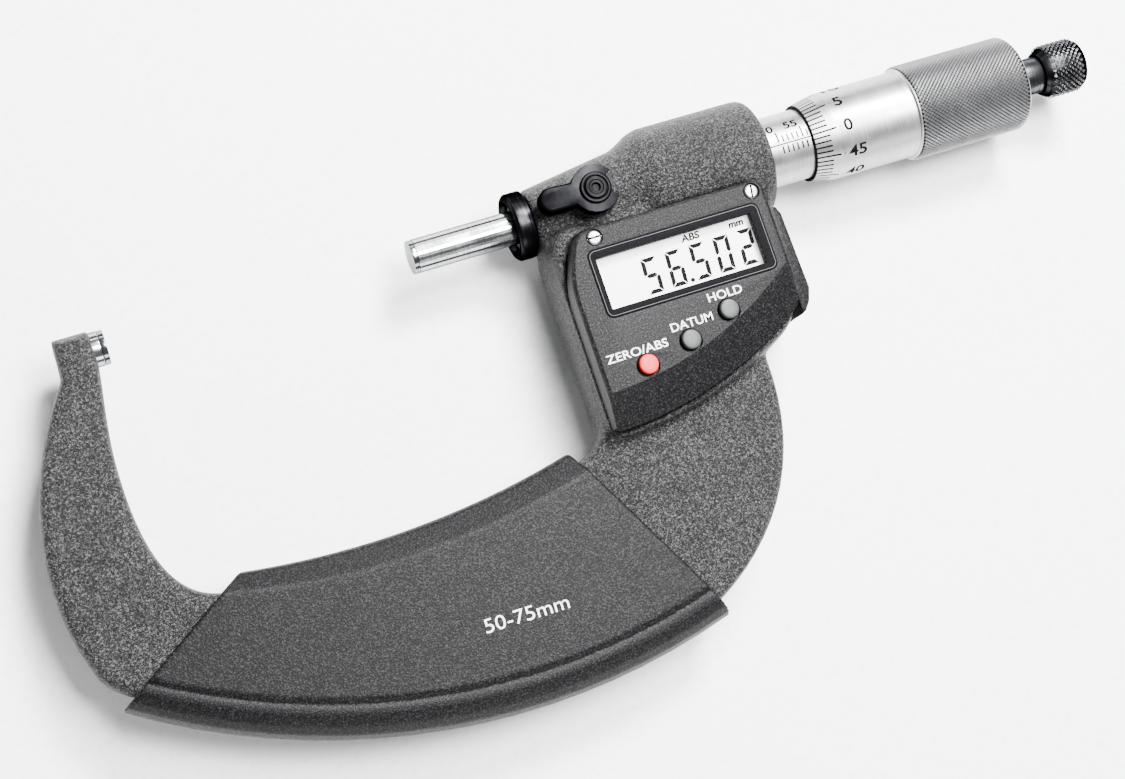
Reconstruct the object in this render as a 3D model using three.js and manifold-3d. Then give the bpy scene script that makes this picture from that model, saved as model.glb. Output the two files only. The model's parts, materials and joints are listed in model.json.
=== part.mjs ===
// Outside micrometer with a digital display, 50 to 75 mm, in millimetres.
// The origin is the centre of the anvil's measuring face. +X runs along the spindle towards the
// ratchet, +Y points away from the bow of the frame, and +Z out of the display.
import * as THREE from 'three';
import { mergeVertices } from 'three/addons/utils/BufferGeometryUtils.js';
import Module from 'manifold-3d';

const wasm = await Module();
wasm.setup();

// ---------- driving dimensions ----------
const READING = 56.502; // opening between the measuring faces
const CLEAR = 0.3; // gap left between pieces that rest on each other
const RUN = 0.08; // radial clearance of a shaft that turns or slides
const ROUND = 36; // sides of the large turned pieces
const SMALL = 20; // sides of the small ones

const spindleRadius = 3.175;
const tipLength = 1;
const threadRadius = 3;
const sleeve = { start: 122, end: 155, outer: 6.78, inner: 6.2 };
const thimble = { start: READING + 79, lip: 7.4, outer: 8.45, coneEnd: 5, gripStart: 22, length: 45.7, grip: 9.35 };
const barrel = { start: 79.7, neckEnd: 98.5, bodyStart: 104.5, end: 126, radius: 11.3 };
const housing = { left: 80.4, right: 121.1, top: -6.2, centreX: 80, centreY: 31.2, sweep: 74, facet: 67.2 };
const shoulder = { reach: 6.6, lean: 2.2, corner: 3.3, drop: 12.3 }; // the housing's leaning upper left corner
const level = { arm: 5.5, body: 8.6, ledge: 6.4, pocket: 1, face: 12.3, shield: 7.4 };
const lock = { x: 90.8, y: 0.6, boss: 9.2, ring: 4.5, hub: 3 };
const battery = { x: 100, y: -24, cell: 10, cover: 11.4 };
const buttonSweep = 64.85; // buttons stand on an arc about the housing's own centre
const buttonRadius = 1.8;
const armTop = 3.45; // top of the anvil arm above the spindle axis

// ---------- materials ----------
const finish = (color, roughness, metalness) =>
  new THREE.MeshStandardMaterial({ color, roughness, metalness });
const paint = finish(0x5b5b5b, 0.75, 0.1);
const moulded = finish(0x414243, 0.55, 0);
const satinChrome = finish(0xd8d9da, 0.35, 1);
const groundSteel = finish(0xc9cbcd, 0.18, 1);
const carbide = finish(0x9ea1a4, 0.25, 1);
const blackSteel = finish(0x232427, 0.35, 0.8);
const brass = finish(0xb8975a, 0.35, 1);
const rubber = finish(0x1d1d1d, 0.9, 0);
const clear = finish(0xe8f0f0, 0.05, 0);
const lcdGrey = finish(0xdfe3df, 0.3, 0);
const board = finish(0x1f5a3a, 0.5, 0);
const redCap = finish(0xd9534f, 0.5, 0);
const greyCap = finish(0x707172, 0.5, 0);

// ---------- solids ----------
function toSolid(geometry) {
  const bare = geometry.clone();
  bare.deleteAttribute('normal');
  bare.deleteAttribute('uv');
  const merged = mergeVertices(bare, 1e-4);
  const index = Array.from(merged.index.array);
  const triangles = [];
  for (let i = 0; i < index.length; i += 3) {
    const [a, b, c] = index.slice(i, i + 3);
    if (a !== b && b !== c && c !== a) triangles.push(a, b, c);
  }
  const positions = new Float32Array(merged.attributes.position.array);
  if (signedVolume(positions, triangles) < 0) triangles.reverse();
  return new wasm.Manifold(
    new wasm.Mesh({ numProp: 3, vertProperties: positions, triVerts: new Uint32Array(triangles) }),
  );
}

function signedVolume(positions, triangles) {
  const corner = (i) => new THREE.Vector3().fromArray(positions, 3 * triangles[i]);
  let volume = 0;
  for (let i = 0; i < triangles.length; i += 3) {
    volume += corner(i).dot(corner(i + 1).cross(corner(i + 2)));
  }
  return volume;
}

function toGeometry(solid) {
  const { vertProperties, triVerts } = solid.getMesh();
  const geometry = new THREE.BufferGeometry();
  geometry.setAttribute('position', new THREE.BufferAttribute(new Float32Array(vertProperties), 3));
  geometry.setIndex(Array.from(triVerts));
  geometry.computeVertexNormals();
  return geometry;
}

const model = new THREE.Group();

function add(name, solid, material) {
  const mesh = new THREE.Mesh(toGeometry(solid), material);
  mesh.name = name;
  model.add(mesh);
}

// A solid turned about the spindle axis, from a closed profile of [x, radius] corners.
function turned(profile, sides = ROUND) {
  const points = profile.map(([x, radius]) => new THREE.Vector2(radius, x));
  return toSolid(new THREE.LatheGeometry(points, sides).rotateZ(-Math.PI / 2));
}

const rod = (start, end, radius, sides) => turned([[start, 0], [start, radius], [end, radius], [end, 0]], sides);
const ring = (start, end, inner, outer, sides) =>
  turned([[start, inner], [start, outer], [end, outer], [end, inner], [start, inner]], sides);

// A rod along Z, for bosses, holes, screws and buttons.
function post(x, y, low, high, radius, sides = SMALL) {
  const geometry = new THREE.CylinderGeometry(radius, radius, high - low, sides).rotateX(Math.PI / 2);
  return toSolid(geometry.translate(x, y, (low + high) / 2));
}

function box(low, high) {
  const size = high.map((value, i) => value - low[i]);
  const centre = high.map((value, i) => (value + low[i]) / 2);
  return toSolid(new THREE.BoxGeometry(...size).translate(...centre));
}

// A flat plate between two heights, with rounded edges when bevel is given.
function plate(shape, low, high, bevel = 0, { grow = 0, steps = 2, curve = 5, rise = bevel } = {}) {
  const geometry = new THREE.ExtrudeGeometry(shape, {
    depth: high - low - 2 * rise,
    bevelEnabled: bevel > 0 || grow > 0,
    bevelSize: bevel,
    bevelThickness: rise,
    bevelOffset: grow - bevel,
    bevelSegments: steps,
    curveSegments: curve,
  });
  return toSolid(geometry.translate(0, 0, low + rise));
}

function roundedRectangle(left, bottom, right, top, radius) {
  const shape = new THREE.Shape();
  shape.moveTo(left + radius, bottom);
  shape.absarc(right - radius, bottom + radius, radius, -Math.PI / 2, 0, false);
  shape.absarc(right - radius, top - radius, radius, 0, Math.PI / 2, false);
  shape.absarc(left + radius, top - radius, radius, Math.PI / 2, Math.PI, false);
  shape.absarc(left + radius, bottom + radius, radius, Math.PI, 1.5 * Math.PI, false);
  return shape;
}

// A stretch of a flat ring between two angles, in degrees.
function sector(x, y, inner, outer, from, to) {
  const shape = new THREE.Shape();
  const start = THREE.MathUtils.degToRad(from);
  const stop = THREE.MathUtils.degToRad(to);
  shape.absarc(x, y, outer, start, stop, false);
  shape.absarc(x, y, inner, stop, start, true);
  return shape;
}

// ---------- outlines ----------
// The display housing: straight sides and a bottom edge swept about one centre.
// Each margin moves one side outwards. With leaning, the left side draws in towards its top.
function housingOutline(
  { left = 0, right = 0, top = 0, sweep = 0, corner = 2.2, soften = 1.2, leaning = true } = {},
) {
  const x0 = housing.left - left;
  const x1 = housing.right + right;
  const y1 = housing.top + top;
  const radius = housing.sweep + sweep;
  const sweptY = (x) => housing.centreY - Math.sqrt(radius ** 2 - (x - housing.centreX) ** 2);
  const angle = (x) => Math.atan2(sweptY(x) - housing.centreY, x - housing.centreX);
  const shape = new THREE.Shape();
  shape.moveTo(x0, y1 - (leaning ? shoulder.drop : corner));
  shape.lineTo(x0, sweptY(x0) + soften);
  shape.quadraticCurveTo(x0, sweptY(x0), x0 + soften, sweptY(x0 + soften));
  shape.absarc(housing.centreX, housing.centreY, radius, angle(x0 + soften), angle(x1 - soften), false);
  shape.quadraticCurveTo(x1, sweptY(x1), x1, sweptY(x1) + soften);
  shape.lineTo(x1, y1 - corner);
  shape.quadraticCurveTo(x1, y1, x1 - corner, y1);
  if (leaning) {
    const bend = { x: x0 + shoulder.lean, y: y1 - shoulder.corner };
    shape.lineTo(x0 + shoulder.reach, y1);
    shape.quadraticCurveTo(x0 + 3.5, y1, bend.x, bend.y);
    shape.bezierCurveTo(bend.x - 0.6, bend.y - 1.5, x0, y1 - 8.3, x0, y1 - shoulder.drop);
  } else {
    shape.lineTo(x0 + corner, y1);
    shape.quadraticCurveTo(x0, y1, x0, y1 - corner);
  }
  return shape;
}

// The forging seen from the front: anvil arm, bow, and the wall under the spindle.
function forgingOutline() {
  const shape = new THREE.Shape();
  shape.moveTo(-2.3, armTop);
  shape.lineTo(-9, armTop);
  shape.lineTo(-9.3, -4.3);
  shape.bezierCurveTo(-14.5, -11, -21.2, -24, -21.2, -38.5);
  shape.bezierCurveTo(-21.2, -44, -20.4, -49, -18.6, -54);
  shape.bezierCurveTo(-17.9, -56.5, -16.5, -57.8, -14, -59.6);
  shape.bezierCurveTo(15, -79, 50, -87, 90, -77);
  shape.bezierCurveTo(106, -69, 114, -55, 113.6, -38);
  shape.lineTo(113.6, 3);
  shape.lineTo(80.1, 3);
  shape.lineTo(79.8, -38.5);
  shape.quadraticCurveTo(79.6, -43.6, 74, -45);
  shape.bezierCurveTo(52, -50.4, 27, -50.4, 7, -47.9);
  shape.bezierCurveTo(-2.5, -46.8, -4.7, -36, -4.7, -24.5);
  shape.bezierCurveTo(-4.7, -15, -3, -9.5, -2.3, -3.2);
  shape.closePath();
  return shape;
}

const forging = forgingOutline();

// ---------- frame ----------
function frameBody() {
  const neck = turned([
    [barrel.start, 0], [barrel.start, 5.6], [barrel.start + 0.5, 6.1], [barrel.neckEnd, 8.7],
    [100.5, 9.6], [102.5, 10.8], [barrel.bodyStart, barrel.radius], [barrel.end - 1.6, barrel.radius],
    [barrel.end - 0.5, barrel.radius - 0.4], [barrel.end, barrel.radius - 1.4], [barrel.end, 0],
  ]);
  const raised = plate(
    housingOutline({ left: 0.25, right: 0.35, top: 2.2, sweep: 1.6, corner: 5, soften: 4, leaning: false }),
    -level.body, level.body, 2.2, { rise: 2.6 },
  );
  const crown = 9.5; // radius of the rounded top over the anvil
  const bossTrim = box([-12, 0, -9], [0, 6, 9]).subtract(
    turned([[-13, 0], [-13, crown], [1, crown], [1, 0]]).translate([0, armTop - crown, 0]),
  );
  return plate(forging, -level.arm, level.arm, 1.8, { curve: 14 })
    .subtract(bossTrim)
    .add(neck)
    .add(raised)
    .add(post(lock.x, lock.y, 5, lock.boss, lock.ring + 0.1))
    .add(plate(sector(lock.x, lock.y, 3.3, lock.ring, -27.5, -8.5), lock.boss - 1, lock.boss + 1.4));
}

function spindleBores() {
  return turned([
    [barrel.start - 1, 0], [barrel.start - 1, 4.9], [83.3, 4.9], [83.3, spindleRadius + RUN],
    [barrel.bodyStart, spindleRadius + RUN], [barrel.bodyStart, 9.3], [116.5, 9.3], [116.5, 6.1 + RUN],
    [121.5, 6.1 + RUN], [121.5, sleeve.outer + 0.25], [barrel.end + 1, sleeve.outer + 0.25], [barrel.end + 1, 0],
  ]);
}

function frame() {
  const ledge = plate(housingOutline({ left: 0.25, right: 0.25, top: 0.25, sweep: 0.25 }), level.ledge, 15);
  const deep = plate(
    housingOutline({ left: -3, right: -3, top: -4.7, sweep: -3.4, corner: 1 }), level.pocket, 8,
  );
  const screwHoles = screwPlaces.map(([x, y]) => post(x, y, 1.5, 8, 0.95, 16));
  return [
    rod(-8.8, 1, spindleRadius + 0.05),
    spindleBores(),
    post(lock.x, lock.y, 3, 10, 2.1),
    ledge,
    box([79, -45, level.ledge], [81, housing.top - shoulder.drop, 15]),
    box([121, -34, level.ledge], [125, -11.6, 15]),
    deep,
    box([108, -12, 1.6], [114, -6.5, 5]), // way for the encoder's flexible lead
    post(battery.x, battery.y, -12, -7.2, battery.cover + CLEAR, ROUND),
    post(battery.x, battery.y, -8, -3.2, battery.cell + 0.5, ROUND),
    post(battery.x + 7, battery.y, -4, 2, 1), // wire way from the cell to the board
    box([116.6, -27, -6.3], [130, -16, -0.6]), // socket of the data port
    ...screwHoles,
  ].reduce((solid, cut) => solid.subtract(cut), frameBody());
}

// One half of the insulating cover that wraps the bow; side is 1 for the front, -1 for the back.
// Sections run from the inner edge to the outer edge of the bow.
function heatShield(side) {
  const steps = 18;
  const inner = new THREE.EllipseCurve(35.4, 111, 158.4, 158.4, -1.734, -1.3402);
  const outer = new THREE.EllipseCurve(57, 43.3, 128, 128, -2.1785, -1.3);
  const topSide = [[0, 0], [0, 4.4], [0.5, 5.4], [4.9, level.shield]];
  const rimSide = [[6.9, level.shield], [6.3, 6.6], [5.6, 7], [4.2, 6.9], [2.4, 5.9], [0.9, 4.2], [0.15, 2.2], [0, 0]];
  const points = [];
  for (let i = 0; i <= steps; i++) {
    const from = inner.getPoint(i / steps);
    const to = outer.getPoint(i / steps);
    const along = to.clone().sub(from).normalize();
    topSide.forEach(([d, z]) => points.push([from.x + along.x * d, from.y + along.y * d, z * side]));
    rimSide.forEach(([d, z]) => points.push([to.x - along.x * d, to.y - along.y * d, z * side]));
  }
  const count = topSide.length + rimSide.length;
  const triangles = [];
  for (let i = 0; i < steps; i++) {
    for (let j = 0; j < count; j++) {
      const a = i * count + j;
      const b = i * count + ((j + 1) % count);
      triangles.push(a, b, b + count, a, b + count, a + count);
    }
  }
  const section = [...topSide, ...rimSide].map(([d, z], j) =>
    new THREE.Vector2(j < topSide.length ? d : 30 - d, z));
  THREE.ShapeUtils.triangulateShape(section, []).forEach(([a, b, c]) => {
    const end = steps * count;
    triangles.push(a, b, c, end + c, end + b, end + a);
  });
  const geometry = new THREE.BufferGeometry();
  geometry.setAttribute('position', new THREE.Float32BufferAttribute(points.flat(), 3));
  geometry.setIndex(triangles);
  const gap = side * CLEAR / 2;
  const half = box([-60, -120, Math.min(gap, side * 20)], [140, 0, Math.max(gap, side * 20)]);
  const bow = plate(forging, -level.arm - CLEAR, level.arm + CLEAR, 1.8, { grow: CLEAR, curve: 10 });
  return toSolid(geometry).intersect(half).subtract(bow);
}

// ---------- display ----------
const screwPlaces = [[87.35, -8.2], [118.5, -8.25]];
const buttonPlaces = [8.15, 16.35, 24.55].map((degrees) => {
  const angle = THREE.MathUtils.degToRad(degrees);
  return [
    housing.centreX + buttonSweep * Math.sin(angle),
    housing.centreY - buttonSweep * Math.cos(angle),
  ];
});
const display = { left: 84.9, right: 118.65, bottom: -23.2, top: -10.35, corner: 1.4 };
const window = { left: 86.15, right: 116.8, bottom: -21.75, top: -11.95 };

function displayHousing() {
  const blank = plate(housingOutline(), level.ledge + 0.8, level.face, 0.7);
  const swept = new THREE.LatheGeometry(
    [[0, 0], [76, 0], [76, 8.6], [housing.facet, level.face], [housing.facet, 20], [0, 20]].map(
      ([radius, z]) => new THREE.Vector2(radius, z),
    ),
    120,
  ).rotateX(Math.PI / 2);
  const slope = toSolid(swept.translate(housing.centreX, housing.centreY, 0));
  const hollow = plate(
    housingOutline({ left: -1.7, right: -1.7, top: -4.1, sweep: -5, corner: 1 }), 0, 10.4,
  );
  const recess = plate(
    roundedRectangle(display.left - 0.1, display.bottom - 0.1, display.right + 0.1, display.top + 0.1, 1.5),
    11.2, 20,
  );
  const opening = box([window.left, window.bottom, 9], [window.right, window.top, 20]);
  const cuts = [
    hollow, recess, opening,
    ...buttonPlaces.map(([x, y]) => post(x, y, 9, 20, buttonRadius + 0.2)),
    ...screwPlaces.map(([x, y]) => post(x, y, 0, 20, 0.95, 16)),
    ...screwPlaces.map(([x, y]) => post(x, y, 11.3, 20, 1.5)),
  ];
  return cuts.reduce((solid, cut) => solid.subtract(cut), blank.intersect(slope));
}

function housingGasket() {
  const low = level.ledge + 0.1;
  const band = (inset) => housingOutline({ left: -inset, right: -inset, top: -inset, sweep: -inset });
  return plate(band(0.15), low, low + 0.6).subtract(plate(band(0.95), low - 1, low + 2));
}

function displaySurround() {
  const outer = roundedRectangle(display.left, display.bottom, display.right, display.top, display.corner);
  const inner = roundedRectangle(
    window.left + 0.05, window.bottom + 0.05, window.right - 0.05, window.top - 0.05, 0.2,
  );
  return plate(outer, 11.25, level.face + 0.15).subtract(plate(inner, 10, 15));
}

function housingScrew([x, y], slotAngle) {
  const slot = box([-2, -0.17, 11.9], [2, 0.17, 13]).rotate([0, 0, slotAngle]).translate([x, y, 0]);
  return post(x, y, 11.35, level.face, 1.35)
    .add(post(x, y, 2, 11.5, 0.8, 16))
    .subtract(slot);
}

// A button cap with the flange that keeps it in the housing.
const button = ([x, y]) =>
  post(x, y, 9, 13, buttonRadius).add(post(x, y, 9, 9.8, buttonRadius + 0.5));

// ---------- lock ----------
// The lever turns about Z on the stud. The gap in its ring swings round the stop on the frame.
function lockLever() {
  const low = lock.boss + 0.15;
  const high = low + 2.2;
  const arm = new THREE.Shape();
  arm.moveTo(lock.x - 1, 2.7);
  arm.lineTo(83, 3.1);
  arm.absarc(82.4, 0.8, 2.3, Math.PI / 2, 1.45 * Math.PI, false);
  arm.lineTo(lock.x - 1, -1.7);
  arm.closePath();
  return post(lock.x, lock.y, low, high, lock.ring)
    .subtract(plate(sector(lock.x, lock.y, lock.hub, 6, -29, 34), low - 1, high + 1))
    .add(plate(arm, low - 1.2, high, 0.5).subtract(post(lock.x, lock.y, low - 2, low, lock.ring + 0.4)))
    .subtract(post(lock.x, lock.y, low - 1, low + 1.2, 1.95))
    .subtract(post(lock.x, lock.y, low - 1, high + 1, 0.9, 16));
}

function lockScrew() {
  const seat = lock.boss + 2.4;
  const socket = toSolid(new THREE.CylinderGeometry(0.75, 0.75, 1, 6).rotateX(Math.PI / 2));
  return post(lock.x, lock.y, seat, seat + 0.8, 2.1)
    .add(post(lock.x, lock.y, 7.4, seat + 0.1, 0.7, 16))
    .subtract(socket.translate([lock.x, lock.y, seat + 0.8]));
}

const lockStud = () =>
  post(lock.x, lock.y, 5.2, lock.boss + 1.2, 1.8).subtract(post(lock.x, lock.y, 7, 12, 0.85, 16));

// ---------- spindle line ----------
const collar = () =>
  turned([
    [76, 5.1], [76, 5.9], [76.5, 6.4], [79.3, 6.4], [79.3, 4.6], [82.9, 4.6], [82.9, 3.5],
    [78.9, 3.5], [78.9, 4.7], [77, 4.7], [76, 5.1],
  ]);

function spindle() {
  const start = READING + tipLength + 0.03;
  const body = turned([
    [start, 0], [start, spindleRadius], [129, spindleRadius], [129.2, threadRadius],
    [166, threadRadius], [176, 2.5], [176, 0],
  ]);
  const keyway = box([90, -0.5, 2.6], [121, 0.5, 4]);
  return body.subtract(keyway).subtract(rod(170, 177, 1.7, SMALL));
}

function thimbleBody() {
  const x = (offset) => thimble.start + offset;
  const knurlEnd = x(thimble.length);
  return turned([
    [x(0), 7.05], [x(0), thimble.lip], [x(thimble.coneEnd), thimble.outer],
    [x(thimble.gripStart), thimble.outer], [x(thimble.gripStart) + 0.3, thimble.grip],
    [knurlEnd - 0.7, thimble.grip], [knurlEnd, thimble.grip - 0.8], [knurlEnd, 2.2],
    [176.5, 2.2], [176.5, 2.5 + RUN], [166.3, 3.1], [166.3, 7.05], [x(0), 7.05],
  ]);
}

const innerSleeve = () =>
  turned([
    [115.5, spindleRadius + RUN], [115.5, 6.1], [154.6, 6.1], [154.6, 4.2], [159, 4.2],
    [159, threadRadius + RUN], [148.5, threadRadius + RUN], [148.5, 3.6], [124, 3.6],
    [124, spindleRadius + RUN], [115.5, spindleRadius + RUN],
  ]);

const encoderRotor = () =>
  turned([
    [107, spindleRadius + RUN], [107, 8.6], [108.2, 8.6], [108.2, 4.8], [113.5, 4.8],
    [113.5, spindleRadius + RUN], [107, spindleRadius + RUN],
  ]).subtract(box([109, -0.45, 2.5], [115, 0.45, 6]));

// ---------- ratchet ----------
const neckStart = thimble.start + thimble.length + 0.2;
const knobStart = neckStart + 6.2;

const ratchetBody = () =>
  turned([
    [171, 0], [171, 1.55], [neckStart, 1.55], [neckStart, 3.65], [knobStart - 0.2, 3.65],
    [knobStart - 0.2, 2], [knobStart + 7.2, 2], [knobStart + 7.2, 0],
  ], 28);

const ratchetKnob = () =>
  turned([
    [knobStart, 2.15], [knobStart, 4.1], [knobStart + 1, 4.7], [knobStart + 1.6, 5.05],
    [knobStart + 7.9, 5.05], [knobStart + 8.7, 4.6], [knobStart + 9.1, 3.9], [knobStart + 2.8, 3.9],
    [knobStart + 2.8, 2.15], [knobStart, 2.15],
  ], 28);

const ratchetCap = () =>
  turned([
    [knobStart + 7.6, 0], [knobStart + 7.6, 3.6], [knobStart + 9, 3.6], [knobStart + 9.3, 2.4],
    [knobStart + 9.4, 0],
  ], 28);

// ---------- battery and data port ----------
function batteryCover() {
  const low = -level.body - 0.7;
  const slot = box([-5, -0.8, low - 1], [5, 0.8, low + 0.6]).translate([battery.x, battery.y, 0]);
  return post(battery.x, battery.y, low, low + 1.6, battery.cover, 32)
    .add(post(battery.x, battery.y, low + 1.5, low + 1.9, 9.9, ROUND))
    .subtract(slot);
}

function batteryContact() {
  const arm = box([90.5, -25.5, -3.9], [109.5, -22.5, -3.6]);
  return arm.add(post(battery.x, battery.y, -4.05, -3.8, 2.5, 20));
}

function portCover() {
  const outline = new THREE.Shape();
  outline.moveTo(121.75, -11.3);
  outline.lineTo(121.75, -32.2);
  outline.lineTo(122.6, -31.8);
  outline.lineTo(123.8, -30.3);
  outline.lineTo(124.75, -27.8);
  outline.lineTo(124.35, -13);
  outline.lineTo(123.7, -11.5);
  outline.closePath();
  return plate(outline, -7, 8, 0.5)
    .add(box([120.3, -26.7, -6], [122.2, -16.3, -0.9]))
    .subtract(rod(120, 130, barrel.radius + CLEAR));
}

// ---------- assembly ----------
add('frame', frame(), paint);
add('anvil', rod(-8.5, -tipLength - 0.03, spindleRadius), groundSteel);
add('anvil_tip', rod(-tipLength, 0, spindleRadius), carbide);
add('heat_shield_front', heatShield(1), moulded);
add('heat_shield_back', heatShield(-1), moulded);

add('spindle_collar', collar(), blackSteel);
add('spindle_wiper', ring(77.3, 78.7, spindleRadius + 0.1, 4.5, SMALL), rubber);
add('lock_pad', post(lock.x, lock.y, 3.55, 5, 1.8, 20), brass);
add('lock_stud', lockStud(), blackSteel);
add('lock_lever', lockLever(), blackSteel);
add('lock_screw', lockScrew(), blackSteel);

add('display_housing', displayHousing(), moulded);
add('housing_gasket', housingGasket(), rubber);
add('display_surround', displaySurround(), finish(0x333436, 0.4, 0));
add(
  'display_window',
  box([window.left + 0.15, window.bottom + 0.15, 11.35], [window.right - 0.15, window.top - 0.15, 12.1]),
  clear,
);
add('lcd_panel', box([86, -22.4, 9.1], [117.4, -11.6, 10.2]), lcdGrey);
add('housing_screw_left', housingScrew(screwPlaces[0], 0), groundSteel);
add('housing_screw_right', housingScrew(screwPlaces[1], 80), groundSteel);
add('zero_button', button(buttonPlaces[0]), redCap);
add('datum_button', button(buttonPlaces[1]), greyCap);
add('hold_button', button(buttonPlaces[2]), greyCap);
add(
  'button_membrane',
  plate(sector(housing.centreX, housing.centreY, 62, 67.6, -85, -63), 7.3, 8.2),
  rubber,
);
add(
  'circuit_board',
  plate(housingOutline({ left: -3.4, right: -3.4, top: -5.1, sweep: -3.8, corner: 1 }), 4.4, 5.6),
  board,
);

add('coin_cell', post(battery.x, battery.y, -7.2, -4.1, battery.cell, 32), groundSteel);
add('battery_contact', batteryContact(), brass);
add('battery_cover', batteryCover(), moulded);
add('port_socket', box([116.9, -26.7, -6], [120, -16.3, -0.9]), finish(0x18191a, 0.6, 0));
add('port_cover', portCover(), moulded);

add('encoder_stator', ring(104.9, 106.4, 3.6, 8.9, 28), board);
add('encoder_rotor', encoderRotor(), brass);
add('rotor_key', box([109.3, -0.35, 2.75], [113.2, 0.35, 4.7]), groundSteel);
add('spindle', spindle(), groundSteel);
add('spindle_tip', rod(READING, READING + tipLength, spindleRadius), carbide);
add('inner_sleeve', innerSleeve(), groundSteel);
add('graduated_sleeve', ring(sleeve.start, sleeve.end, sleeve.inner, sleeve.outer), satinChrome);
add('adjusting_nut', ring(155.3, 158.6, 4.3, 6.6, 28), groundSteel);
add('thimble', thimbleBody(), satinChrome);

add('ratchet_body', ratchetBody(), blackSteel);
add('ratchet_disc', ring(knobStart + 3, knobStart + 4.6, 2.1, 3.7, 20), groundSteel);
add('ratchet_spring', ring(knobStart + 4.8, knobStart + 7.3, 2.4, 3.5, 20), groundSteel);
add('ratchet_knob', ratchetKnob(), blackSteel);
add('ratchet_cap', ratchetCap(), blackSteel);

export default model;
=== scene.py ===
# Digital outside micrometer, 50 to 75 mm. Sizes in the dictionaries are millimetres.
import bmesh
import bpy
import json
import math
from mathutils import Matrix, Vector


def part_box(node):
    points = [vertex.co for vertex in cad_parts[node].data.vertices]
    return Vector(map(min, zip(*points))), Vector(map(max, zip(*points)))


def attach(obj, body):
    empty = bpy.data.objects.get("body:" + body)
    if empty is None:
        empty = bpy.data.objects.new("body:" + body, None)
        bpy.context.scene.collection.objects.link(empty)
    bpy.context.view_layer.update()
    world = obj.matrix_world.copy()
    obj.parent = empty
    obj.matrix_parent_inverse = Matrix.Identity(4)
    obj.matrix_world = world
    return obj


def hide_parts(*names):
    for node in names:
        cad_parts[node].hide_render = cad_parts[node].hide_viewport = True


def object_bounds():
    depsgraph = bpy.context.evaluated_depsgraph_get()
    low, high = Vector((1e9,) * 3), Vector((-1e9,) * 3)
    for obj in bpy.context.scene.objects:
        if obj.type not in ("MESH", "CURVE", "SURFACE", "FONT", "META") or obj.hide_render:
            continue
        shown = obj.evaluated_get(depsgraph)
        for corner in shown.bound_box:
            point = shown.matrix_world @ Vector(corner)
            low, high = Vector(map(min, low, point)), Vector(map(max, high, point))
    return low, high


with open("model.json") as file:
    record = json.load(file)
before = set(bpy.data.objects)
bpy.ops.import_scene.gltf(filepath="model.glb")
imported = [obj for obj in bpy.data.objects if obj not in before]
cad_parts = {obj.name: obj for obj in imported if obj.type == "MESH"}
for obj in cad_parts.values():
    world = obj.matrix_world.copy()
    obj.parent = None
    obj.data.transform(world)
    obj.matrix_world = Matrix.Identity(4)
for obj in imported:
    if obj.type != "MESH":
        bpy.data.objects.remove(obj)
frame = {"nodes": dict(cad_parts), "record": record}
nodes = frame["nodes"]
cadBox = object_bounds()
mm = 0.001


def linear(code):
    # sRGB hex to the linear colour that the shaders take
    channels = [int(code[i:i + 2], 16) / 255 for i in (1, 3, 5)]
    return [c / 12.92 if c <= 0.04045 else ((c + 0.055) / 1.055) ** 2.4 for c in channels] + [1]


def addNode(tree, kind, settings=None, sockets=None):
    node = tree.nodes.new(kind)
    for key, value in (settings or {}).items():
        setattr(node, key, value)
    for key, value in (sockets or {}).items():
        if isinstance(value, bpy.types.NodeSocket):
            tree.links.new(value, node.inputs[key])
        else:
            node.inputs[key].default_value = value
    return node


# Camera: above the anvil end, looking a little towards the ratchet
viewpoint = {
    "place": (-14.497, -69.419, 365.737),
    "towards": (0.238172, 0.100362, -0.966024),
    "up": (0.291366, 0.941449, 0.169645),
    "lens": 66.17,
    "sensor": 36,
    "nearest": 10,
}
back = -Vector(viewpoint["towards"]).normalized()
up = (Vector(viewpoint["up"]) - back * back.dot(Vector(viewpoint["up"]))).normalized()
side = up.cross(back)
camera = bpy.data.objects.new("camera", bpy.data.cameras.new("camera"))
camera.data.lens = viewpoint["lens"]
camera.data.sensor_width = viewpoint["sensor"]
camera.data.clip_start = viewpoint["nearest"] * mm
facing = Matrix((side, up, back)).transposed().to_4x4()
camera.matrix_world = Matrix.Translation(Vector(viewpoint["place"]) * mm) @ facing
bpy.context.scene.collection.objects.link(camera)
bpy.context.scene.camera = camera

# Studio: a pale table under two large softboxes, and a long strip beyond either side for the metal
studio = {
    "table": "#fafaf9", "tableSize": 6000, "tableGap": 0.3,
    "world": "#eef0f3", "worldPower": 0.32, "aim": (90, -25, 0),
}
lamps = [
    # place, width and height in mm, watts
    {"place": (300, 300, 520), "size": (220, 160), "power": 20},
    {"place": (225, 30, 580), "size": (260, 220), "power": 14},
    {"place": (60, 460, 240), "size": (520, 50), "power": 0.8},
    {"place": (90, -460, 150), "size": (560, 160), "power": 2},
]
world = bpy.data.worlds.new("studio")
world.use_nodes = True
background = world.node_tree.nodes["Background"].inputs
background["Color"].default_value = linear(studio["world"])
background["Strength"].default_value = studio["worldPower"]
bpy.context.scene.world = world
aim = Vector(studio["aim"]) * mm
for number, lamp in enumerate(lamps):
    light = bpy.data.lights.new("softbox%d" % number, "AREA")
    light.shape = "RECTANGLE"
    light.size = lamp["size"][0] * mm
    light.size_y = lamp["size"][1] * mm
    light.energy = lamp["power"]
    holder = bpy.data.objects.new(light.name, light)
    holder.location = Vector(lamp["place"]) * mm
    holder.rotation_euler = (aim - holder.location).to_track_quat("-Z", "Y").to_euler()
    bpy.context.scene.collection.objects.link(holder)
tableZ = cadBox[0].z - studio["tableGap"] * mm
reach = studio["tableSize"] / 2 * mm
corners = [(x * reach, y * reach, tableZ) for x, y in ((-1, -1), (1, -1), (1, 1), (-1, 1))]
tableMesh = bpy.data.meshes.new("table")
tableMesh.from_pydata(corners, [], [(0, 1, 2, 3)])
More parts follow.
